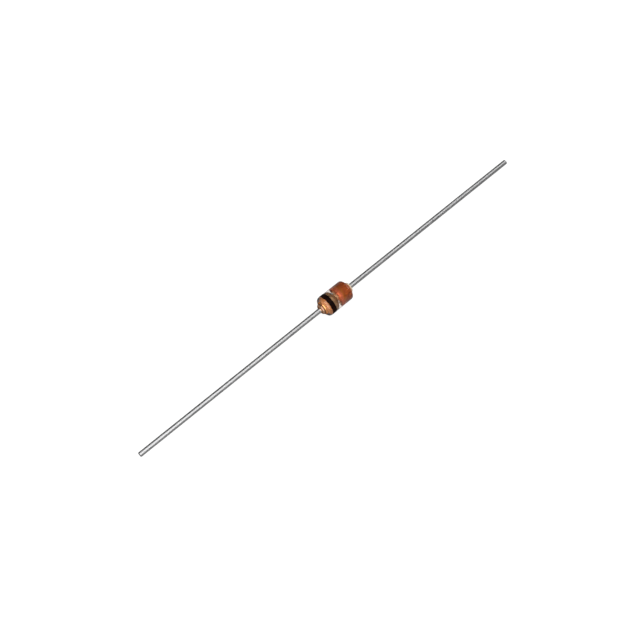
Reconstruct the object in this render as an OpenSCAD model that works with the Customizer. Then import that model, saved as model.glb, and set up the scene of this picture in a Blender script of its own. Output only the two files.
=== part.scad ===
// Axial signal diode in a glass sleeve.
// Two copper-clad slugs clamp a silicon die between their noses, and the glass is fused round both slugs.
// Each slug carries a weld collar and a straight tinned lead.
// The axis runs along X with the cathode towards -X, and the origin is the centre of the glass body.

/* [Leads] */
// Diameter of the lead wire
lead_d = 0.5; // [0.4:0.02:0.58]
// Length of each lead from its weld collar to its cut end
lead_len = 22.1; // [5:0.1:38]
// Edge break that the cutter leaves on each cut end
lead_edge = 0.04; // [0.01:0.01:0.12]

/* [Glass sleeve] */
// Outside diameter of the glass
glass_d = 2.12; // [1.98:0.01:2.6]
// Length of the glass from end to end
glass_len = 3.12; // [2.8:0.02:5]
// Radius of the fire-rounded shoulder at each end
glass_shoulder = 0.28; // [0.2:0.02:0.34]

/* [Slugs] */
// Diameter of each slug, to which the glass is fused
slug_d = 1.4; // [1.38:0.02:1.54]
// How far each slug stands out of the glass
slug_proud = 0.15; // [0.04:0.01:0.3]
// Rounding of the outer edge of each slug
slug_edge = 0.11; // [0.04:0.01:0.12]
// Rounding of the nose that faces the die
slug_nose = 0.39; // [0.1:0.01:0.4]

/* [Weld collars] */
// Diameter of the weld collar between slug and lead
collar_d = 1.14; // [1:0.02:1.16]
// Length of the weld collar along the axis
collar_len = 0.22; // [0.21:0.01:0.5]
// Rounding of the outer rim of the weld collar
collar_rim = 0.2; // [0.05:0.01:0.2]

/* [Die] */
// Side of the square silicon die
die_w = 0.42; // [0.3:0.02:0.54]
// Thickness of the die
die_t = 0.06; // [0.05:0.01:0.2]
// Diameter of the silver contact bump, pressed flat on the anode side of the die
bump_d = 0.2; // [0.12:0.01:0.28]
// Height of the pressed bump
bump_h = 0.02; // [0.01:0.005:0.06]
// How far the die sits from the middle of the glass, towards the anode end
die_shift = -0.07; // [-0.3:0.01:0.3]
// Diameter of the room round the die, which the glass leaves open between the noses
room_d = 0.8; // [0.78:0.01:0.9]

/* [Cathode band] */
// Distance from the cathode end of the glass to the band
band_setback = 0.33; // [0.2:0.01:1]
// Width of the band
band_w = 0.51; // [0.3:0.01:1]
// Thickness of the printed ink
band_t = 0.015; // [0.01:0.005:0.05]

/* [Hidden] */
$fn = 96;

lead_r = lead_d / 2;
glass_r = glass_d / 2;
slug_r = slug_d / 2;
collar_r = collar_d / 2;
bump_r = bump_d / 2;
room_r = room_d / 2;
glass_end = glass_len / 2;

// Place of each nose from the middle of the glass, measured towards its own end
nose_gap = die_t + bump_h;
cathode_nose = nose_gap / 2 - die_shift;
anode_nose = nose_gap / 2 + die_shift;
slug_face = glass_end + slug_proud;
collar_face = slug_face + collar_len;

// Turns a half-section about the X axis. The section has its radius along X and its length along Y.
module turned() {
    rotate([0, 90, 0])
        rotate_extrude()
            children();
}

// What a rounded outer edge of this radius leaves out, measured from the centre of the rounding
module edge_waste(radius) {
    difference() {
        square(2 * radius);
        circle(radius);
    }
}

// Half-section of a round bar between two faces, each with its own edge rounding
module bar_section(radius, low, high, low_round, high_round) {
    difference() {
        translate([0, low])
            square([radius, high - low]);
        translate([radius - high_round, high - high_round])
            edge_waste(high_round);
        translate([radius - low_round, low + low_round])
            mirror([0, 1])
                edge_waste(low_round);
    }
}

// Half-section of one slug with its weld collar, lying towards its own end
module slug_section(nose) {
    bar_section(slug_r, nose, slug_face, slug_nose, slug_edge);
    bar_section(collar_r, slug_face - collar_len, collar_face, collar_rim, collar_rim);
}

// Both slugs and the room round the die, which is the space that the glass leaves
module sealed_core_section() {
    slug_section(anode_nose);
    mirror([0, 1])
        slug_section(cathode_nose);
    translate([0, -cathode_nose - slug_nose])
        square([room_r, nose_gap + 2 * slug_nose]);
}

// Half-section of the sleeve's outside, grown by a coat of this thickness
module sleeve_section(coat) {
    bar_section(
        glass_r + coat,
        -glass_end - coat,
        glass_end + coat,
        glass_shoulder + coat,
        glass_shoulder + coat
    );
}

// One lead, butted on its weld collar and lying towards +X
module lead() {
    translate([collar_face, 0, 0])
        turned()
            polygon([
                [0, 0],
                [lead_r, 0],
                [lead_r, lead_len - lead_edge],
                [lead_r - lead_edge, lead_len],
                [0, lead_len]
            ]);
}

// Clear sleeve with rounded shoulders, fused to both slugs and into the groove between their noses
module glass_sleeve() {
    color("lightcyan", 0.35)
        turned()
            difference() {
                sleeve_section(0);
                sealed_core_section();
            }
}

// Ring of ink that marks the cathode end and lies on the glass like a coat
module cathode_band() {
    color("black")
        turned()
            difference() {
                intersection() {
                    sleeve_section(band_t);
                    translate([0, band_setback - glass_end])
                        square([glass_d, band_w]);
                }
                sleeve_section(0);
            }
}

module cathode_slug() {
    color("chocolate")
        mirror([1, 0, 0])
            turned()
                slug_section(cathode_nose);
}

module anode_slug() {
    color("chocolate")
        turned()
            slug_section(anode_nose);
}

module cathode_lead() {
    color("lightgray")
        mirror([1, 0, 0])
            lead();
}

module anode_lead() {
    color("lightgray")
        lead();
}

// Square chip, seated by its back on the nose of the cathode slug
module silicon_die() {
    color("dimgray")
        translate([-cathode_nose, -die_w / 2, -die_w / 2])
            cube([die_t, die_w, die_w]);
}

// Barrel-sided silver bump that fills the room between the die and the nose of the anode slug
module contact_bump() {
    color("silver")
        translate([anode_nose - bump_h, 0, 0])
            turned() {
                square([bump_r - bump_h / 2, bump_h]);
                translate([bump_r - bump_h / 2, bump_h / 2])
                    circle(bump_h / 2);
            }
}

glass_sleeve();
cathode_band();
cathode_slug();
anode_slug();
cathode_lead();
anode_lead();
silicon_die();
contact_bump();
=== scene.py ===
"""Studio scene of an axial glass signal diode, dressed over its construction model."""

import logging
import math
from collections.abc import Callable
from dataclasses import dataclass, field
from enum import Enum
from typing import NamedTuple

import bmesh
import bpy
from mathutils import Matrix, Vector, noise


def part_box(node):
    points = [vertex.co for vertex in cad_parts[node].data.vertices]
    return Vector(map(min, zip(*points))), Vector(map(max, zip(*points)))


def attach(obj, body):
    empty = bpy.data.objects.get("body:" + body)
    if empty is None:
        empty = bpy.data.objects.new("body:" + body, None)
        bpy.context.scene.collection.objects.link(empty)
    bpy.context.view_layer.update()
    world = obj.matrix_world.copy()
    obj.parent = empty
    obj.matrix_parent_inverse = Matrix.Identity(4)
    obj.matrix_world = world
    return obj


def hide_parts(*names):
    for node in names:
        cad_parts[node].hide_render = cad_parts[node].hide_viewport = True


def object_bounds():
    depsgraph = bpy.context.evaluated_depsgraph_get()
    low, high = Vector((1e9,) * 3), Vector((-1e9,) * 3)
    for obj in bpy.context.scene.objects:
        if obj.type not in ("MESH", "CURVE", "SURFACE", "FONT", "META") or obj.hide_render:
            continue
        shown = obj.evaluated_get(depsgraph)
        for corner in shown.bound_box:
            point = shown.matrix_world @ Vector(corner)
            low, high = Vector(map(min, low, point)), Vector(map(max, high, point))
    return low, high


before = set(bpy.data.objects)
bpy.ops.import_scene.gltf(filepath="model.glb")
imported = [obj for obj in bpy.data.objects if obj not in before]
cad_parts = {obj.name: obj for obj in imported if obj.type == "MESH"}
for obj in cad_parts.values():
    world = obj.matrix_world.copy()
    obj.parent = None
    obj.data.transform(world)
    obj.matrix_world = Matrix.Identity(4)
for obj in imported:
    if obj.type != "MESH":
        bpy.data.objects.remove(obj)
CAD_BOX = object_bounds()

MM = 0.001
"""Metres in a millimetre: sizes below are in millimetres, as on the drawing of the part."""

BODY = "root"
"""The one rigid body that every piece rides on."""

"""Where the construction box and the dressed box are written."""

WHITE = (1.0, 1.0, 1.0)
"""The colour of the studio's background."""

WIDE = (0.2, 0.8)
"""The range that holds a noise pattern's values, apart from a few."""

MIDDLE = (0.3, 0.7)
"""The range that holds nearly all of them."""

CORE = (0.35, 0.65)
"""The range that holds most of them, for a stronger contrast."""

INWARD = 0.5
"""What is taken off a ripple, so that a surface sinks more than it rises."""

log = logging.getLogger("diode")

Colour = tuple[float, float, float]
Direction = tuple[float, float, float]
Pair = tuple[float, float]
Wobble = Callable[[float, float, float], Pair]
Socket = bpy.types.NodeSocket
Material = bpy.types.Material
Ring = list[bmesh.types.BMVert]


class End(Enum):
    """The two ends of the diode, valued by the sign of their place along X."""

    CATHODE = -1
    ANODE = 1

    @property
    def label(self) -> str:
        """The end's name as node names spell it."""
        return self.name.lower()

    def reach(self, node: str) -> Pair:
        """Gives a node's nearest and furthest place, in millimetres, measured towards this end."""
        places = sorted(self.value * corner.x for corner in node_box(node))
        return places[0], places[1]


def node_box(node: str) -> tuple[Vector, Vector]:
    """Gives a node's lowest and highest corner, in millimetres."""
    low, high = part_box(node)
    return low / MM, high / MM


def show(name: str, data: bpy.types.ID) -> bpy.types.Object:
    """Puts an object into the scene.

    Args:
        name: The object's name.
        data: Its mesh, light or camera.

    Returns:
        The object, at the origin.
    """
    shown = bpy.data.objects.new(name, data)
    bpy.context.scene.collection.objects.link(shown)
    return shown


def ripple(angle: float, place: float, lumps: float) -> float:
    """Gives smooth unevenness round a turned piece.

    Args:
        angle: Angle round the axis, in radians.
        place: Where along the noise to read, so that rows differ.
        lumps: How many lumps there are round the piece, roughly.

    Returns:
        A value from about -1 to 1 that closes on itself round the piece.
    """
    return noise.noise(Vector((lumps * math.cos(angle), lumps * math.sin(angle), place)))


class Graph:
    """Short calls for one node tree, of a finish, of the room's light or of the wire."""

    def __init__(self, tree: bpy.types.NodeTree) -> None:
        """Takes the tree that the calls add to."""
        self.tree = tree

    def add(self, kind: str, **settings: str) -> bpy.types.Node:
        """Adds a node.

        Args:
            kind: The node's type.
            settings: The node's own settings, by name.

        Returns:
            The new node.
        """
        node = self.tree.nodes.new(kind)
        for name, value in settings.items():
            setattr(node, name, value)
        return node

    def join(self, source: Socket, target: Socket) -> None:
        """Links one socket to another."""
        self.tree.links.new(source, target)

    def sum(self, operation: str, *numbers: Socket | float) -> Socket:
        """Works out one step of arithmetic.

        Args:
            operation: The Math node's operation.
            numbers: The numbers that it takes, plain or from a socket.

        Returns:
            The result's socket.
        """
        node = self.add("ShaderNodeMath", operation=operation)
        for number, socket in zip(numbers, node.inputs):
            if isinstance(number, Socket):
                self.join(number, socket)
            else:
                socket.default_value = number
        return node.outputs["Value"]

    def remap(self, value: Socket, source: Pair, target: Pair) -> Socket:
        """Carries one range of values onto another, clamped.

        Args:
            value: The value to read.
            source: The range that is read.
            target: The range that comes out.

        Returns:
            The new value's socket.
        """
        node = self.add("ShaderNodeMapRange")
        for name, number in zip(("From Min", "From Max", "To Min", "To Max"), (*source, *target)):
            node.inputs[name].default_value = number
        self.join(value, node.inputs["Value"])
        return node.outputs["Result"]

    def split(self, vector: Socket) -> bpy.types.bpy_prop_collection:
        """Splits a vector into its parts.

        Args:
            vector: The vector's socket.

        Returns:
            The parts' sockets, by the names X, Y and Z.
        """
        node = self.add("ShaderNodeSeparateXYZ")
        self.join(vector, node.inputs["Vector"])
        return node.outputs


class ShaderGraph(Graph):
    """A material's node tree round one Principled shader."""

    FINE_SHARE = 0.55
    """How strong each finer octave of a noise is beside the one before."""

    def __init__(self, name: str) -> None:
        """Starts a material with its shader joined to the output.

        Args:
            name: The material's name.
        """
        self.material = bpy.data.materials.new(name)
        self.material.use_nodes = True
        super().__init__(self.material.node_tree)
        self.tree.nodes.clear()
        self.shader = self.add("ShaderNodeBsdfPrincipled")
        output = self.add("ShaderNodeOutputMaterial")
        self.join(self.shader.outputs["BSDF"], output.inputs["Surface"])
        self.place = self.add("ShaderNodeTexCoord").outputs["Object"]

    def set(self, **values: float | Colour) -> None:
        """Sets plain values on the shader's own sockets.

        Args:
            values: The values by the sockets' names, with underscores for spaces.
        """
        for name, value in values.items():
            plain = (*value, 1.0) if isinstance(value, tuple) else value
            self.shader.inputs[name.replace("_", " ")].default_value = plain

    def feed(self, name: str, source: Socket) -> None:
        """Links a socket to the shader's input of this name."""
        self.join(source, self.shader.inputs[name])

    def per_mm(self, along: float, across: float) -> Socket:
        """Scales Object coordinates.

        Args:
            along: Units a millimetre along the diode.
            across: Units a millimetre the other two ways.

        Returns:
            The scaled coordinates' socket.
        """
        mapping = self.add("ShaderNodeMapping")
        mapping.inputs["Scale"].default_value = (along / MM, across / MM, across / MM)
        self.join(self.place, mapping.inputs["Vector"])
        return mapping.outputs["Vector"]

    def along(self) -> Socket:
        """Gives the place along the diode's axis, in millimetres."""
        return self.split(self.per_mm(1.0, 1.0))["X"]

    def end_distance(self) -> Socket:
        """Gives the distance from the middle of the diode along its axis, in millimetres."""
        return self.sum("ABSOLUTE", self.along())

    def noise(self, along: float, across: float, detail: float) -> Socket:
        """Adds a noise texture.

        Args:
            along: Noise cells a millimetre along the diode.
            across: Noise cells a millimetre the other two ways.
            detail: Octaves of finer noise.

        Returns:
            The noise's value socket.
        """
        texture = self.add("ShaderNodeTexNoise")
        texture.inputs["Scale"].default_value = 1.0
        texture.inputs["Detail"].default_value = detail
        texture.inputs["Roughness"].default_value = self.FINE_SHARE
        self.join(self.per_mm(along, across), texture.inputs["Vector"])
        return texture.outputs["Fac"]

    def even_noise(self, cells: float, detail: float) -> Socket:
        """Adds a noise texture with as many cells a millimetre every way."""
        return self.noise(cells, cells, detail)

    def ramp(self, value: Socket, *stops: tuple[float, Colour]) -> Socket:
        """Turns a value into a colour.

        Args:
            value: The value to read, from 0 to 1.
            stops: Places along the ramp, in order, each with its colour.

        Returns:
            The ramp's colour socket.
        """
        node = self.add("ShaderNodeValToRGB")
        elements = node.color_ramp.elements
        while len(elements) < len(stops):
            elements.new(1.0)
        for element, (position, colour) in zip(elements, stops):
            element.position = position
            element.color = (*colour, 1.0)
        self.join(value, node.inputs["Fac"])
        return node.outputs["Color"]

    def shade(self, value: Socket, span: Pair, first: Colour, last: Colour) -> None:
        """Colours the surface from the first tone to the last over a range of values."""
        self.feed("Base Color", self.ramp(value, (span[0], first), (span[1], last)))

    def mix(self, share: Socket, first: Socket, second: Socket) -> Socket:
        """Blends two colours.

        Args:
            share: How much of the second colour shows.
            first: The first colour.
            second: The second colour.

        Returns:
            The blended colour's socket.
        """
        node = self.add("ShaderNodeMix", data_type="RGBA")
        self.join(share, node.inputs["Factor"])
        colours = [socket for socket in node.inputs if socket.type == "RGBA"]
        self.join(first, colours[0])
        self.join(second, colours[1])
        return next(socket for socket in node.outputs if socket.type == "RGBA")

    def bump(self, height: Socket, depth: float, strength: float) -> None:
        """Roughens the surface.

        Args:
            height: The height pattern, from 0 to 1.
            depth: The pattern's full height in millimetres.
            strength: How much of the bump shows.
        """
        node = self.add("ShaderNodeBump")
        node.inputs["Distance"].default_value = depth * MM
        node.inputs["Strength"].default_value = strength
        self.join(height, node.inputs["Height"])
        self.feed("Normal", node.outputs["Normal"])


@dataclass(frozen=True)
class TinnedWire:
    """Grey tin on drawn wire: fine die lines along the wire over cloudy tarnish."""

    bright: Colour = (0.48, 0.48, 0.48)
    dull: Colour = (0.395, 0.395, 0.4)
    grazing: Colour = (0.2, 0.2, 0.2)
    roughness: Pair = (0.34, 0.44)
    cloud_mm: float = 0.7
    clouds_across: float = 2.0
    line_mm: float = 0.03
    lines_along: float = 0.25

    def material(self) -> Material:
        """Mixes the finish.

        Returns:
            The material that both leads share.
        """
        graph = ShaderGraph("tinned_wire")
        lines = graph.noise(self.lines_along, 1 / self.line_mm, detail=2.0)
        clouds = graph.noise(1 / self.cloud_mm, self.clouds_across, detail=4.0)
        tone = graph.mix(lines, clouds, lines)
        graph.shade(tone, CORE, self.dull, self.bright)
        graph.feed("Roughness", graph.remap(clouds, MIDDLE, self.roughness))
        graph.bump(lines, depth=0.004, strength=0.25)
        graph.set(Metallic=1.0, Specular_Tint=self.grazing)
        return graph.material


class Zone(NamedTuple):
    """A tint of the copper at one place along the diode, with its metal share and roughness."""

    place: float
    colour: Colour
    metal: float
    roughness: float


@dataclass(frozen=True)
class SlugCopper:
    """Copper cladding: oxide tints under the glass and bright bare ends, with painted shade in a dark ring
    at each weld root, and painted light on the anode's nose, on the near end's sealed copper and on the far
    weld collar.
    """

    # Tan oxide, and partly painted shade: kept darker on the cathode's nose, which turns from the light.
    tan: Colour = (0.44, 0.275, 0.15)
    # Painted light: the anode's nose, paler than the tan where it faces the light.
    lit_nose: Colour = (0.98, 0.64, 0.38)
    salmon: Colour = (0.72, 0.185, 0.085)
    olive: Colour = (0.48, 0.15, 0.03)
    rust: Colour = (0.43, 0.1, 0.028)
    copper: Colour = (1.0, 0.42, 0.16)
    # Painted shade: a dark ring in the groove at each weld root.
    root_shade: Colour = (0.13, 0.05, 0.025)
    brown_weld: Colour = (0.62, 0.36, 0.23)
    # Painted reflection: the far weld collar is painted pale cream for the bright floor it mirrors.
    weld_sheen: Colour = (1.0, 0.8, 0.6)
    grazing: Colour = (0.12, 0.06, 0.04)
    reach: float = 2.1
    drift: float = 0.14
    seal_edge: Pair = (1.0, 1.3)
    clouds_per_mm: float = 2.2
    lines_along: float = 0.8
    lines_across: float = 26.0

    def material(self) -> Material:
        """Mixes the finish.

        Returns:
            The material that both slugs share.
        """
        graph = ShaderGraph("slug_copper")
        clouds = graph.even_noise(self.clouds_per_mm, detail=4.0)
        lines = graph.noise(self.lines_along, self.lines_across, detail=2.0)
        place = self._place(graph, clouds)
        zones = self._zones()
        shares = [(zone.place + self.reach) / (2 * self.reach) for zone in zones]
        looks = {
            "Base Color": [zone.colour for zone in zones],
            "Metallic": [(zone.metal,) * 3 for zone in zones],
            "Roughness": [(zone.roughness,) * 3 for zone in zones],
        }
        for name, tints in looks.items():
            graph.feed(name, graph.ramp(place, *zip(shares, tints)))
        graph.bump(lines, depth=0.006, strength=0.4)
        graph.set(Specular_IOR_Level=0.0, Specular_Tint=self.grazing)
        return graph.material

    def _zones(self) -> tuple[Zone, ...]:
        """Lists the tints along the diode.

        Returns:
            The zones from the cathode's weld to the anode's, with their places in millimetres.
        """
        return (
            Zone(-1.88, self.brown_weld, 0.92, 0.08),
            # Painted shade: dark ring in the groove at the cathode's weld root.
            Zone(-1.74, self.root_shade, 0.50, 0.35),
            Zone(-1.71, self.root_shade, 0.50, 0.35),
            Zone(-1.68, self.copper, 0.85, 0.16),
            Zone(-1.60, self.copper, 0.85, 0.16),
            # Painted light: the near end's sealed copper is painted bright copper, where the anode's is
            # oxide, for the light on the near end.
            Zone(-1.50, self.copper, 0.00, 0.50),
            Zone(-0.95, self.copper, 0.00, 0.50),
            # Tan oxide, partly painted shade where the cathode's nose turns from the light.
            Zone(-0.75, self.tan, 0.30, 0.40),
            Zone(-0.10, self.tan, 0.30, 0.30),
            # Painted light: the anode's nose painted pale where it faces the light.
            Zone(-0.05, self.lit_nose, 0.10, 0.30),
            Zone(0.00, self.lit_nose, 0.25, 0.24),
            Zone(0.10, self.salmon, 0.45, 0.24),
            Zone(0.28, self.salmon, 0.40, 0.30),
            Zone(0.45, self.salmon, 0.20, 0.55),
            Zone(0.64, self.olive, 0.20, 0.55),
            Zone(0.90, self.rust, 0.20, 0.55),
            Zone(1.30, self.rust, 0.20, 0.55),
            Zone(1.42, self.rust, 0.10, 0.50),
            # Painted shade: dark rings either side of the anode's bare edge, at its weld root.
            Zone(1.56, self.root_shade, 0.50, 0.40),
            Zone(1.65, self.copper, 0.80, 0.30),
            Zone(1.72, self.root_shade, 0.50, 0.40),
            # Painted reflection: the far weld collar painted pale cream.
            Zone(1.76, self.weld_sheen, 0.30, 0.45),
        )

    def _place(self, graph: ShaderGraph, clouds: Socket) -> Socket:
        """Gives the place along the diode as a ramp's value, with the zones' borders made cloudy.

        Args:
            graph: The material's tree.
            clouds: The noise that shifts the borders under the glass.

        Returns:
            The value's socket, 0 at the cathode's reach and 1 at the anode's.
        """
        share = graph.remap(graph.along(), (-self.reach, self.reach), (0.0, 1.0))
        amount = self.drift / (2 * self.reach)
        shift = graph.remap(clouds, WIDE, (-amount, amount))
        sealed = graph.remap(graph.end_distance(), self.seal_edge, (1.0, 0.0))
        return graph.sum("MULTIPLY_ADD", shift, sealed, share)


@dataclass(frozen=True)
class SleeveGlass:
    """Clear soft glass with a faint warm tint and the slow waviness of a fire-polished sleeve."""

    pale: Colour = (0.985, 0.9, 0.84)
    tinted: Colour = (0.96, 0.85, 0.78)
    ior: float = 1.52
    waves_per_mm: float = 0.9

    def material(self) -> Material:
        """Mixes the finish.

        Returns:
            The sleeve's material.
        """
        graph = ShaderGraph("sleeve_glass")
        waves = graph.even_noise(self.waves_per_mm, detail=1.0)
        graph.shade(waves, MIDDLE, self.tinted, self.pale)
        graph.bump(waves, depth=0.01, strength=0.1)
        graph.set(Transmission_Weight=1.0, Roughness=0.0, IOR=self.ior)
        return graph.material


@dataclass(frozen=True)
class BandInk:
    """Baked black ink, satin, with a slightly warm and cloudy body."""

    body: Colour = (0.005, 0.0015, 0.001)
    thin: Colour = (0.016, 0.004, 0.002)
    thinning: Pair = (0.42, 0.72)
    roughness: Pair = (0.45, 0.6)
    shine: float = 0.03
    clouds_per_mm: float = 3.0
    grains_per_mm: float = 40.0

    def material(self) -> Material:
        """Mixes the finish.

        Returns:
            The band's material.
        """
        graph = ShaderGraph("band_ink")
        clouds = graph.even_noise(self.clouds_per_mm, detail=5.0)
        grain = graph.even_noise(self.grains_per_mm, detail=2.0)
        graph.shade(clouds, self.thinning, self.body, self.thin)
        graph.feed("Roughness", graph.remap(grain, MIDDLE, self.roughness))
        graph.bump(grain, depth=0.004, strength=0.35)
        graph.set(Specular_IOR_Level=self.shine)
        return graph.material


@dataclass(frozen=True)
class DieSilicon:
    """Sawn silicon with fine saw marks, painted tan and pale: painted light from the copper, lifting the
    shade between the noses.
    """

    # Painted light: tan and pale tones stand in for the copper's light in the gap.
    dark: Colour = (0.48, 0.36, 0.24)
    light: Colour = (0.66, 0.51, 0.36)
    roughness: Pair = (0.25, 0.45)
    metal: float = 0.3
    marks_along: float = 6.0
    marks_across: float = 60.0

    def material(self) -> Material:
        """Mixes the finish.

        Returns:
            The die's material.
        """
        graph = ShaderGraph("die_silicon")
        marks = graph.noise(self.marks_along, self.marks_across, detail=3.0)
        graph.shade(marks, CORE, self.dark, self.light)
        graph.feed("Roughness", graph.remap(marks, MIDDLE, self.roughness))
        graph.bump(marks, depth=0.002, strength=0.4)
        graph.set(Metallic=self.metal)
        return graph.material


@dataclass(frozen=True)
class BumpSilver:
    """Plated silver, grained by the pressing."""

    dull: Colour = (0.62, 0.60, 0.56)
    bright: Colour = (0.88, 0.87, 0.83)
    roughness: Pair = (0.3, 0.5)
    grains_per_mm: float = 45.0

    def material(self) -> Material:
        """Mixes the finish.

        Returns:
            The bump's material.
        """
        graph = ShaderGraph("bump_silver")
        grain = graph.even_noise(self.grains_per_mm, detail=3.0)
        graph.shade(grain, CORE, self.dull, self.bright)
        graph.feed("Roughness", graph.remap(grain, MIDDLE, self.roughness))
        graph.bump(grain, depth=0.002, strength=0.5)
        graph.set(Metallic=1.0)
        return graph.material


@dataclass
class Section:
    """Half-section of a turned piece: points of place along the axis and radius, in millimetres."""

    points: list[Pair] = field(default_factory=list)

    def to(self, place: float, radius: float) -> "Section":
        """Adds a point and gives the section back."""
        self.points.append((place, radius))
        return self

    def arc(self, centre: Pair, radius: float, start: float, end: float,
            steps: int = 20) -> "Section":
        """Adds the points of an arc.

        Args:
            centre: Place and radius of the arc's centre.
            radius: The arc's own radius.
            start: Angle of the first point in degrees, from the axis towards growing radius.
            end: Angle of the last point.
            steps: Number of spans along the arc.

        Returns:
            The section itself.
        """
        for step in range(steps + 1):
            angle = math.radians(start + (end - start) * step / steps)
            self.to(centre[0] + radius * math.cos(angle), centre[1] + radius * math.sin(angle))
        return self

    def run(self, place: float, spans: int) -> "Section":
        """Runs straight along the axis from the last point.

        Args:
            place: Where the run ends.
            spans: Number of spans that it is made in.

        Returns:
            The section itself.
        """
        start, radius = self.points[-1]
        for span in range(1, spans + 1):
            self.to(start + (place - start) * span / spans, radius)
        return self

    def facing(self, end: End) -> "Section":
        """Gives the section as it lies towards this end, drawn for the anode end."""
        return Section([(end.value * place, radius) for place, radius in self.points])

    def back(self) -> "Section":
        """Gives the section drawn from its last point to its first."""
        return Section(self.points[::-1])

    def then(self, other: "Section") -> "Section":
        """Gives this section followed by another."""
        return Section(self.points + other.points)


@dataclass(frozen=True)
class Lathe:
    """Turns half-sections about the X axis into closed, outward-facing meshes."""

    sides: int = 128
    sharp_degrees: float = 35.0
    merge: float = 1e-5

    def turn(self, name: str, section: Section, hollow: bool = False,
             wobble: Wobble | None = None) -> bpy.types.Object:
        """Turns a section into an object.

        Args:
            name: The object's name.
            section: The half-section, from axis to axis, or once round a hollow piece.
            hollow: True for a ring, whose section closes on itself clear of the axis.
            wobble: Shift of a point along the axis and of its radius, in millimetres, from its
                place, radius and angle.

        Returns:
            The object, at the origin, with its place in its mesh.
        """
        shape = bmesh.new()
        rings = [self._ring(shape, place, radius, wobble) for place, radius in section.points]
        spans = list(zip(rings, rings[1:]))
        if hollow:
            spans.append((rings[-1], rings[0]))
        for first, second in spans:
            self._span(shape, first, second)
        bmesh.ops.remove_doubles(shape, verts=shape.verts, dist=self.merge * MM)
        bmesh.ops.recalc_face_normals(shape, faces=shape.faces)
        mesh = bpy.data.meshes.new(name)
        shape.to_mesh(mesh)
        shape.free()
        mesh.shade_smooth()
        mesh.set_sharp_from_angle(angle=math.radians(self.sharp_degrees))
        return show(name, mesh)

    def _ring(self, shape: bmesh.types.BMesh, place: float, radius: float,
              wobble: Wobble | None) -> Ring:
        """Adds one ring of points, or a single point on the axis.

        Args:
            shape: The mesh to add to.
            place: The ring's place along the axis.
            radius: The ring's radius.
            wobble: The shift of its points, if any.

        Returns:
            The ring's points in order.
        """
        if radius < self.merge:
            return [shape.verts.new(Vector((place, 0.0, 0.0)) * MM)]
        ring = []
        for side in range(self.sides):
            angle = 2 * math.pi * side / self.sides
            along, out = wobble(place, radius, angle) if wobble else (0.0, 0.0)
            reach = radius + out
            point = Vector((place + along, reach * math.cos(angle), reach * math.sin(angle)))
            ring.append(shape.verts.new(point * MM))
        return ring

    def _span(self, shape: bmesh.types.BMesh, first: Ring, second: Ring) -> None:
        """Joins two rings by faces, or a ring to a point on the axis.

        Args:
            shape: The mesh to add to.
            first: The points of one ring.
            second: The points of the next.
        """
        for side in range(self.sides):
            corners = [
                first[side % len(first)],
                first[(side + 1) % len(first)],
                second[(side + 1) % len(second)],
                second[side % len(second)],
            ]
            unique = list(dict.fromkeys(corners))
            if len(unique) > 2:
                shape.faces.new(unique)


def seat(piece: bpy.types.Object, node: str, material: Material) -> None:
    """Dresses a piece, puts it in place of its node and reports it.

    Args:
        piece: The finished piece.
        node: The node of the construction model that it stands for.
        material: The piece's finish.
    """
    if not piece.data.materials:
        piece.data.materials.append(material)
    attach(piece, BODY)
    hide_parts(node)
    log.info("%s stands for %s: %d faces", piece.name, node, len(piece.data.polygons))


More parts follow.
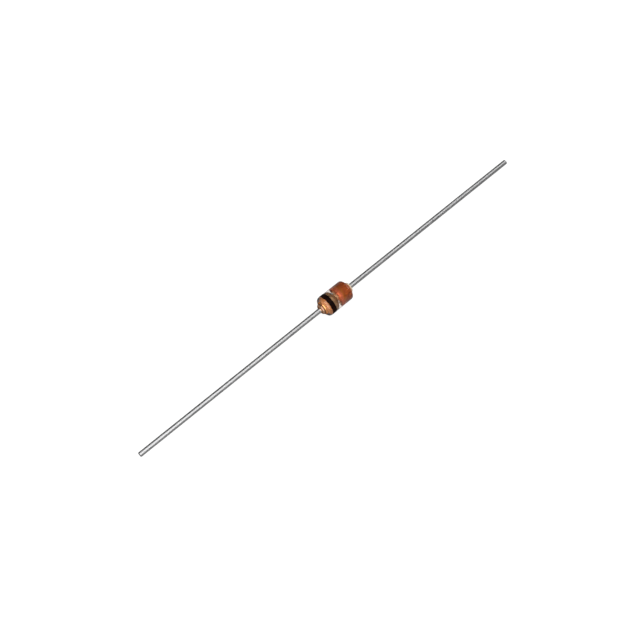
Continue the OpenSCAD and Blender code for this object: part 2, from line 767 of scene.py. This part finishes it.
@dataclass
class Slug:
    """One copper-clad slug with its weld collar, and the weld's fillet on the lead."""

    end: End
    nose_round: float = 0.39
    edge: float = 0.11
    face: float = 1.71
    collar_radius: float = 0.57
    collar_rim: float = 0.2
    weld_fillet: float = 0.06
    fillet_steps: int = 10
    seal: float = 0.001
    lump: float = 0.012
    lumps_round: float = 1.6
    lump_row: float = 3.1
    lump_free: float = 0.27

    @property
    def nose(self) -> float:
        """Place of the nose's face, measured towards the slug's own end."""
        return self.end.reach(self.node)[0]

    @property
    def node(self) -> str:
        """The slug's node."""
        return f"{self.end.label}_slug"

    @property
    def radius(self) -> float:
        """The slug's radius."""
        return node_box(self.node)[1].z

    @property
    def nose_centre(self) -> Pair:
        """Place and radius of the centre of the nose's rounding."""
        return self.nose + self.nose_round, self.radius - self.nose_round

    def build(self, lathe: Lathe, material: Material) -> None:
        """Turns the slug and seats it.

        Args:
            lathe: The lathe that turns it.
            material: The copper that both slugs share.
        """
        section = self._section().facing(self.end)
        piece = lathe.turn(f"{self.node}_copper", section, wobble=self._weld_lumps)
        seat(piece, self.node, material)

    def skin(self, room: float) -> Section:
        """Draws the seal with the glass, from the room round the die to the slug's straight side.

        Args:
            room: Radius of the room round the die.

        Returns:
            The nose's rounding as the glass meets it, lying towards the slug's own end.
        """
        centre = self.nose_centre
        start = 180 - math.degrees(math.asin((room - centre[1]) / self.nose_round))
        return Section().arc(centre, self.nose_round, start, 90)

    def _section(self) -> Section:
        """Draws the slug from its nose to the weld.

        Returns:
            The half-section, lying towards the slug's own end.
        """
        wire = node_box(f"{self.end.label}_lead")[1].z
        collar = self.end.reach(self.node)[1]
        fillet = self.weld_fillet
        edge_centre = (self.face - self.edge, self.radius - self.edge)
        rim_centre = (collar - self.collar_rim, self.collar_radius - self.collar_rim)
        section = Section().to(self.nose, 0.0)
        section.arc(self.nose_centre, self.nose_round + self.seal, 180, 90)
        section.arc(edge_centre, self.edge + self.seal, 90, 0)
        section.to(self.face + self.seal, self.collar_radius)
        section.arc(rim_centre, self.collar_rim, 90, 0)
        section.arc((collar + fillet, wire + fillet), fillet, 180, 270, self.fillet_steps)
        return section.to(collar, wire - self.seal).to(collar, 0.0)

    def _weld_lumps(self, place: float, radius: float, angle: float) -> Pair:
        """Makes the weld collar slightly uneven, as a weld is, and leaves the slug and the wire true.

        Args:
            place: A point's place along the axis.
            radius: Its radius.
            angle: Its angle round the axis, in radians.

        Returns:
            The point's shift along the axis and of its radius.
        """
        if abs(place) <= self.face + self.seal or radius < self.lump_free:
            return 0.0, 0.0
        rise = ripple(angle, self.lump_row * self.end.value, self.lumps_round) - INWARD
        return 0.0, self.lump * rise


@dataclass
class Sleeve:
    """The clear glass sleeve, fused round both slugs and into the groove between their noses."""

    shoulder: float = 0.28
    room: float = 0.4
    spans: int = 24
    wave: float = 0.002
    wave_lumps: float = 1.2
    wave_row: float = 0.9
    still_wall: float = 0.1
    finish: SleeveGlass = SleeveGlass()

    @property
    def end(self) -> float:
        """Place of the glass's end."""
        return node_box("glass_sleeve")[1].x

    @property
    def radius(self) -> float:
        """The glass's outside radius."""
        return node_box("glass_sleeve")[1].z

    def surface(self, place: float) -> float:
        """Gives the outside radius at a place along the axis, on the straight part or on a shoulder."""
        past = max(0.0, abs(place) - (self.end - self.shoulder))
        return self.radius - self.shoulder + math.sqrt(self.shoulder**2 - past**2)

    def build(self, lathe: Lathe, slugs: dict[End, Slug]) -> None:
        """Turns the sleeve and seats it.

        Args:
            lathe: The lathe that turns it.
            slugs: The slugs that the glass is fused to.
        """
        bore = slugs[End.ANODE].radius
        quarter = self._shoulder()
        straight = quarter.facing(End.CATHODE).back().run(self.end - self.shoulder, self.spans)
        anode = slugs[End.ANODE].skin(self.room)
        cathode = slugs[End.CATHODE].skin(self.room).facing(End.CATHODE)
        inside = Section().to(self.end, bore).then(anode.back()).then(cathode).to(-self.end, bore)
        section = straight.then(quarter).then(inside)
        piece = lathe.turn("sleeve_glass", section, hollow=True, wobble=self._wave(bore))
        seat(piece, "glass_sleeve", self.finish.material())

    def _shoulder(self) -> Section:
        """Draws the anode end's shoulder from the straight part to the end."""
        centre = (self.end - self.shoulder, self.radius - self.shoulder)
        return Section().arc(centre, self.shoulder, 90, 0)

    def _wave(self, bore: float) -> Wobble:
        """Gives the slow waviness of the outside, which leaves the seal with the slugs alone.

        Args:
            bore: Radius of the bore that is sealed to the slugs.

        Returns:
            The shift of each point of the sleeve.
        """

        def wobble(place: float, radius: float, angle: float) -> Pair:
            """Sinks the outside a little here and there."""
            share = max(0.0, radius - bore - self.still_wall)
            return 0.0, -self.wave * share * (1 + ripple(angle, self.wave_row * place, self.wave_lumps))

        return wobble


@dataclass
class Band:
    """The printed cathode band, with the soft edges of ink on glass."""

    edge_shift: float = 0.012
    edge_lumps: float = 2.4
    edge_row: float = 2.0
    soft: float = 0.03
    sunk: float = 0.002
    spans: int = 24
    finish: BandInk = BandInk()

    def build(self, lathe: Lathe, sleeve: Sleeve) -> None:
        """Turns the ring of ink over the glass and seats it.

        Args:
            lathe: The lathe that turns it.
            sleeve: The glass that the ink lies on.
        """
        low, high = node_box("cathode_band")
        ink = high.z - sleeve.radius
        middle = (low.x + high.x) / 2
        half = (high.x - low.x) / 2
        upper = Section()
        lower = Section()
        for span in range(self.spans + 1):
            share = -math.cos(math.pi * span / self.spans)
            place = middle + half * share
            depth = min(1.0, half * (1 - abs(share)) / self.soft)
            glass = sleeve.surface(place)
            upper.to(place, glass + ink * math.sqrt(depth * (2 - depth)))
            lower.to(place, glass - self.sunk)

        def wobble(place: float, radius: float, angle: float) -> Pair:
            """Shifts a point of the ink along the axis only."""
            return self._shift((place - middle) / half, angle), 0.0

        piece = lathe.turn("cathode_band_ink", upper.then(lower.back()), hollow=True, wobble=wobble)
        seat(piece, "cathode_band", self.finish.material())

    def _shift(self, share: float, angle: float) -> float:
        """Gives the shift of the ink at a share of its half width, each edge in its own way."""
        row = math.copysign(self.edge_row, share)
        return self.edge_shift * share * (ripple(angle, row, self.edge_lumps) - INWARD)


@dataclass
class Chip:
    """The silicon die and the silver bump that the slugs clamp."""

    kerf: float = 0.014
    bevel: float = 0.006
    barrel_steps: int = 12
    die_finish: DieSilicon = DieSilicon()
    bump_finish: BumpSilver = BumpSilver()

    def build(self, lathe: Lathe) -> None:
        """Saws the die, turns the bump and seats both.

        Args:
            lathe: The lathe that turns the bump.
        """
        seat(self._die(), "silicon_die", self.die_finish.material())
        low, high = node_box("contact_bump")
        barrel = (high.x - low.x) / 2
        section = Section().to(low.x, 0.0)
        section.arc((low.x + barrel, high.z - barrel), barrel, 180, 0, self.barrel_steps)
        section.to(high.x, 0.0)
        piece = lathe.turn("silver_bump", section)
        seat(piece, "contact_bump", self.bump_finish.material())

    def _die(self) -> bpy.types.Object:
        """Builds the square die from its back to its face, with the ledge that the first saw cut leaves.

        Returns:
            The object, at the origin, with its place in its mesh.
        """
        low, high = node_box("silicon_die")
        half = high.y
        top = half - self.kerf
        ledge = (low.x + high.x) / 2
        steps = (
            (low.x, half - self.bevel),
            (low.x + self.bevel, half),
            (ledge, half),
            (ledge, top),
            (high.x - self.bevel, top),
            (high.x, top - self.bevel),
        )
        corners = ((-1, -1), (1, -1), (1, 1), (-1, 1))
        sides = len(corners)
        points = [Vector((place, reach * y, reach * z)) * MM for place, reach in steps for y, z in corners]
        faces = [tuple(reversed(range(sides)))]
        for step in range(len(steps) - 1):
            for side in range(sides):
                first = sides * step + side
                second = sides * step + (side + 1) % sides
                faces.append((first, second, second + sides, first + sides))
        faces.append(tuple(range(len(points) - sides, len(points))))
        mesh = bpy.data.meshes.new("sawn_die")
        mesh.from_pydata(points, [], faces)
        return show("sawn_die", mesh)


class WireTree(Graph):
    """Geometry Nodes that draw a straight wire along X, with die lines and a broken edge at its cut end."""

    INPUTS = (
        ("Start", "NodeSocketFloat"),
        ("Length", "NodeSocketFloat"),
        ("Radius", "NodeSocketFloat"),
        ("Cut Edge", "NodeSocketFloat"),
        ("Line Depth", "NodeSocketFloat"),
        ("Lines", "NodeSocketFloat"),
        ("Rings", "NodeSocketInt"),
        ("Sides", "NodeSocketInt"),
        ("Material", "NodeSocketMaterial"),
    )

    LINES_PER_METRE = 60.0
    """How often the die lines change along the wire."""

    CUT_FACING = 0.9
    """X part of a face's normal above which it is the cut end."""

    def __init__(self) -> None:
        """Builds the tree with its named inputs."""
        super().__init__(bpy.data.node_groups.new("drawn_wire", "GeometryNodeTree"))
        for name, kind in self.INPUTS:
            self.tree.interface.new_socket(name, in_out="INPUT", socket_type=kind)
        self.tree.interface.new_socket("Geometry", in_out="OUTPUT", socket_type="NodeSocketGeometry")
        self.sizes = self.add("NodeGroupInput").outputs
        self._wire()

    def _vector(self, **parts: Socket) -> Socket:
        """Makes a vector.

        Args:
            parts: Its parts by the names X, Y and Z, where they aren't 0.

        Returns:
            The vector's socket.
        """
        node = self.add("ShaderNodeCombineXYZ")
        for axis, part in parts.items():
            self.join(part, node.inputs[axis])
        return node.outputs["Vector"]

    def _wire(self) -> None:
        """Sweeps the wire, scores the die lines, breaks its cut edge and dresses it."""
        shaft = self.sum("SUBTRACT", self.sizes["Length"], self.sizes["Cut Edge"])
        stop = self.sum("ADD", self.sizes["Start"], shaft)
        line = self.add("GeometryNodeCurvePrimitiveLine")
        self.join(self._vector(X=self.sizes["Start"]), line.inputs["Start"])
        self.join(self._vector(X=stop), line.inputs["End"])
        spans = self.add("GeometryNodeResampleCurve")
        self.join(line.outputs["Curve"], spans.inputs["Curve"])
        self.join(self.sizes["Rings"], spans.inputs["Count"])
        profile = self.add("GeometryNodeCurvePrimitiveCircle")
        self.join(self.sizes["Radius"], profile.inputs["Radius"])
        self.join(self.sizes["Sides"], profile.inputs["Resolution"])
        sweep = self.add("GeometryNodeCurveToMesh")
        sweep.inputs["Fill Caps"].default_value = True
        self.join(spans.outputs["Curve"], sweep.inputs["Curve"])
        self.join(profile.outputs["Curve"], sweep.inputs["Profile Curve"])
        scored = self._scored(sweep.outputs["Mesh"])
        smooth = self.add("GeometryNodeSetShadeSmooth")
        self.join(self._cut_edge(scored), smooth.inputs["Geometry"])
        real = self.add("GeometryNodeRealizeInstances")
        self.join(smooth.outputs["Geometry"], real.inputs["Geometry"])
        dressed = self.add("GeometryNodeSetMaterial")
        self.join(real.outputs["Geometry"], dressed.inputs["Geometry"])
        self.join(self.sizes["Material"], dressed.inputs["Material"])
        output = self.add("NodeGroupOutput")
        self.join(dressed.outputs["Geometry"], output.inputs["Geometry"])

    def _scored(self, mesh: Socket) -> Socket:
        """Sinks fine lines along the wire, as a drawing die leaves them.

        Args:
            mesh: The swept wire.

        Returns:
            The scored wire.
        """
        place = self.split(self.add("GeometryNodeInputPosition").outputs["Position"])
        outward = {axis: self.sum("DIVIDE", place[axis], self.sizes["Radius"]) for axis in ("Y", "Z")}
        cells = {axis: self.sum("MULTIPLY", part, self.sizes["Lines"]) for axis, part in outward.items()}
        along = self.sum("MULTIPLY", place["X"], self.LINES_PER_METRE)
        texture = self.add("ShaderNodeTexNoise")
        texture.inputs["Scale"].default_value = 1.0
        self.join(self._vector(X=along, **cells), texture.inputs["Vector"])
        depth = self.sum("MULTIPLY", texture.outputs["Fac"], self.sizes["Line Depth"])
        inward = self.sum("MULTIPLY", depth, -1.0)
        shift = {axis: self.sum("MULTIPLY", part, inward) for axis, part in outward.items()}
        moved = self.add("GeometryNodeSetPosition")
        self.join(mesh, moved.inputs["Geometry"])
        self.join(self._vector(**shift), moved.inputs["Offset"])
        return moved.outputs["Geometry"]

    def _cut_edge(self, mesh: Socket) -> Socket:
        """Carries the cut end's face out to the full length, drawn in by the broken edge.

        Args:
            mesh: The scored wire.

        Returns:
            The wire with its cut end.
        """
        normal = self.split(self.add("GeometryNodeInputNormal").outputs["Normal"])
        grown = self.add("GeometryNodeExtrudeMesh", mode="FACES")
        self.join(mesh, grown.inputs["Mesh"])
        self.join(self.sum("GREATER_THAN", normal["X"], self.CUT_FACING), grown.inputs["Selection"])
        self.join(self.sizes["Cut Edge"], grown.inputs["Offset Scale"])
        shrink = self.add("GeometryNodeScaleElements", domain="FACE")
        self.join(grown.outputs["Mesh"], shrink.inputs["Geometry"])
        self.join(grown.outputs["Top"], shrink.inputs["Selection"])
        share = self.sum("DIVIDE", self.sizes["Cut Edge"], self.sizes["Radius"])
        self.join(self.sum("SUBTRACT", 1.0, share), shrink.inputs["Scale"])
        return shrink.outputs["Geometry"]


@dataclass
class Lead:
    """One straight tinned lead, swept by the wire tree."""

    end: End
    cut_edge: float = 0.04
    line_depth: float = 0.004
    lines: float = 9.0
    rings: int = 90
    sides: int = 64
    sharp_degrees: float = 35.0

    def build(self, wire: WireTree, material: Material) -> None:
        """Draws the lead and seats it.

        Args:
            wire: The wire tree that both leads share.
            material: The tin that both leads share.
        """
        node = f"{self.end.label}_lead"
        start, stop = self.end.reach(node)
        piece = show(f"{node}_wire", bpy.data.meshes.new(f"{node}_wire"))
        values = {
            "Start": start * MM,
            "Length": (stop - start) * MM,
            "Radius": node_box(node)[1].z * MM,
            "Cut Edge": self.cut_edge * MM,
            "Line Depth": self.line_depth * MM,
            "Lines": self.lines,
            "Rings": self.rings,
            "Sides": self.sides,
            "Material": material,
        }
        self._sweep(piece, wire, values)
        if self.end is End.CATHODE:
            piece.data.transform(Matrix.Rotation(math.pi, 4, "Z"))
        piece.data.set_sharp_from_angle(angle=math.radians(self.sharp_degrees))
        seat(piece, node, material)

    def _sweep(self, piece: bpy.types.Object, wire: WireTree, values: dict[str, object]) -> None:
        """Runs the tree on the piece and keeps the result as a plain mesh.

        Args:
            piece: The object that takes the mesh.
            wire: The wire tree.
            values: The tree's inputs by name.
        """
        modifier = piece.modifiers.new("wire", "NODES")
        modifier.node_group = wire.tree
        for item in wire.tree.interface.items_tree:
            if item.in_out == "INPUT":
                modifier[item.identifier] = values[item.name]
        evaluated = piece.evaluated_get(bpy.context.evaluated_depsgraph_get())
        mesh = bpy.data.meshes.new_from_object(evaluated)
        mesh.name = piece.name
        piece.modifiers.remove(modifier)
        piece.data = mesh


@dataclass
class Softbox:
    """A flat studio light that faces the diode, in metres, with one side set along the diode's axis."""

    name: str
    direction: Direction
    distance: float
    along: float
    across: float
    radiance: float

    def build(self) -> None:
        """Hangs the light, with the power that its radiance and area need."""
        data = bpy.data.lights.new(self.name, "AREA")
        data.shape = "RECTANGLE"
        data.size = self.along
        data.size_y = self.across
        data.energy = self.radiance * math.pi * self.along * self.across
        lamp = show(self.name, data)
        away = Vector(self.direction).normalized()
        side = (Vector((1.0, 0.0, 0.0)) - away * away.x).normalized()
        turn = Matrix((side, away.cross(side), away)).transposed().to_4x4()
        lamp.matrix_world = Matrix.Translation(away * self.distance) @ turn
        log.info("light %s", self.name)


@dataclass
class Studio:
    """The floor that the glass lies on, the room's light and the softboxes, in metres."""

    floor_half: float = 2.0
    floor_albedo: float = 0.26
    paper_grain: float = 0.01
    fibres_per_mm: float = 0.02
    floor_lift: float = 0.845
    lift_reach: Pair = (0.02, 0.45)
    gloss_share: float = 0.2
    horizon: float = 1.0
    horizon_edge: Pair = (0.08, 0.28)
    sky: float = 0.03
    lights: tuple[Softbox, ...] = (
        Softbox("front_softbox", (0.08, -0.255, 0.964), 0.40, 0.16, 0.70, 2.7),
        Softbox("right_softbox", (0.52, -0.027, 0.853), 0.40, 0.10, 0.44, 2.4),
        Softbox("left_softbox", (-0.62, -0.36, 0.70), 0.40, 0.48, 0.70, 2.5),
    )

    def build(self) -> None:
        """Lays the floor and sets the light."""
        self._floor()
        self._room()
        for light in self.lights:
            light.build()

    def _floor(self) -> None:
        """Lays a plain pale floor under the lowest point of the diode."""
        level = CAD_BOX[0].z
        half = self.floor_half
        mesh = bpy.data.meshes.new("floor")
        corners = [(-half, -half, level), (half, -half, level), (half, half, level), (-half, half, level)]
        mesh.from_pydata(corners, [], [(0, 1, 2, 3)])
        mesh.materials.append(self._floor_paper())
        floor = show("floor", mesh)

    def _floor_paper(self) -> Material:
        """Makes pale paper that is lifted to white where it is seen, straight or in metal and glass.

        Returns:
            The paper's material, whose lift adds no light to the diode's dull surfaces.
        """
        graph = ShaderGraph("floor_paper")
        fibres = graph.even_noise(self.fibres_per_mm, detail=2.0)
        tones = (self.floor_albedo - self.paper_grain, self.floor_albedo + self.paper_grain)
        graph.feed("Base Color", graph.remap(fibres, (0.0, 1.0), tones))
        graph.set(Roughness=0.9, Specular_IOR_Level=0.0, Emission_Color=WHITE)
        away = graph.add("ShaderNodeVectorMath", operation="LENGTH")
        graph.join(graph.place, away.inputs[0])
        lift = graph.remap(away.outputs["Value"], self.lift_reach, (self.floor_lift, 1.0))
        graph.feed("Emission Strength", graph.sum("MULTIPLY", lift, self._seen(graph)))
        return graph.material

    def _seen(self, graph: Graph) -> Socket:
        """Gives how much of the white background a ray sees.

        Args:
            graph: The node tree to add to.

        Returns:
            1 for the view itself and through glass, less in a reflection, and 0 for a ray that
            lights a dull surface.
        """
        rays = graph.add("ShaderNodeLightPath").outputs
        seen = rays["Is Camera Ray"]
        for name in ("Is Glossy Ray", "Is Transmission Ray"):
            seen = graph.sum("MAXIMUM", seen, rays[name])
        for name, share in (("Glossy Depth", self.gloss_share), ("Diffuse Depth", 0.0)):
            left = graph.remap(rays[name], (0.0, 1.0), (1.0, share))
            seen = graph.sum("MULTIPLY", seen, left)
        return seen

    def _room(self) -> None:
        """Makes a room that is white at the horizon where it is seen, and dim above."""
        world = bpy.data.worlds.new("room")
        world.use_nodes = True
        graph = Graph(world.node_tree)
        ray = graph.split(graph.add("ShaderNodeTexCoord").outputs["Generated"])
        low = graph.remap(ray["Z"], self.horizon_edge, (1.0, 0.0))
        white = graph.sum("MULTIPLY", low, self._seen(graph))
        background = graph.tree.nodes["Background"]
        background.inputs["Color"].default_value = (*WHITE, 1.0)
        strength = graph.remap(white, (0.0, 1.0), (self.sky, self.horizon))
        graph.join(strength, background.inputs["Strength"])
        bpy.context.scene.world = world


@dataclass
class Viewpoint:
    """The photograph's camera: where it looks from, and where the diode's centre falls in the frame."""

    azimuth: float = -42.483
    elevation: float = 61.532
    distance: float = 0.112977
    lens: float = 65.647
    sensor: float = 36.0
    clip: Pair = (0.002, 20.0)
    frame_px: int = 640
    centre_px: Pair = (334.96, 298.37)

    def build(self) -> None:
        """Sets up the camera."""
        data = bpy.data.cameras.new("camera")
        data.lens = self.lens
        data.sensor_width = self.sensor
        data.clip_start, data.clip_end = self.clip
        camera = show("camera", data)
        camera.matrix_world = self._place()
        bpy.context.scene.camera = camera

    def _place(self) -> Matrix:
        """Works out the camera's place.

        Returns:
            The camera's matrix, with the diode's centre at its pixel of the frame.
        """
        turn = math.radians(self.azimuth)
        rise = math.radians(self.elevation)
        back = Vector((math.sin(turn) * math.cos(rise), -math.cos(turn) * math.cos(rise), math.sin(rise)))
        right = Vector((math.cos(turn), math.sin(turn), 0.0))
        up = back.cross(right)
        metres_per_px = self.distance * self.sensor / self.lens / self.frame_px
        aside = (self.centre_px[0] - self.frame_px / 2) * metres_per_px
        above = (self.frame_px / 2 - self.centre_px[1]) * metres_per_px
        place = back * self.distance - right * aside - up * above
        return Matrix.Translation(place) @ Matrix((right, up, back)).transposed().to_4x4()


def main() -> None:
    """Builds the diode piece by piece, then the studio round it."""
    logging.basicConfig(level=logging.INFO, format="%(name)s: %(message)s")
    bpy.context.scene.view_settings.view_transform = "Standard"
    Viewpoint().build()
    lathe = Lathe()
    wire = WireTree()
    tin = TinnedWire().material()
    copper = SlugCopper().material()
    slugs = {end: Slug(end) for end in End}
    for end, slug in slugs.items():
        Lead(end).build(wire, tin)
        slug.build(lathe, copper)
    Chip().build(lathe)
    sleeve = Sleeve()
    sleeve.build(lathe, slugs)
    Band().build(lathe, sleeve)
    Studio().build()


if __name__ == "__main__":
    main()
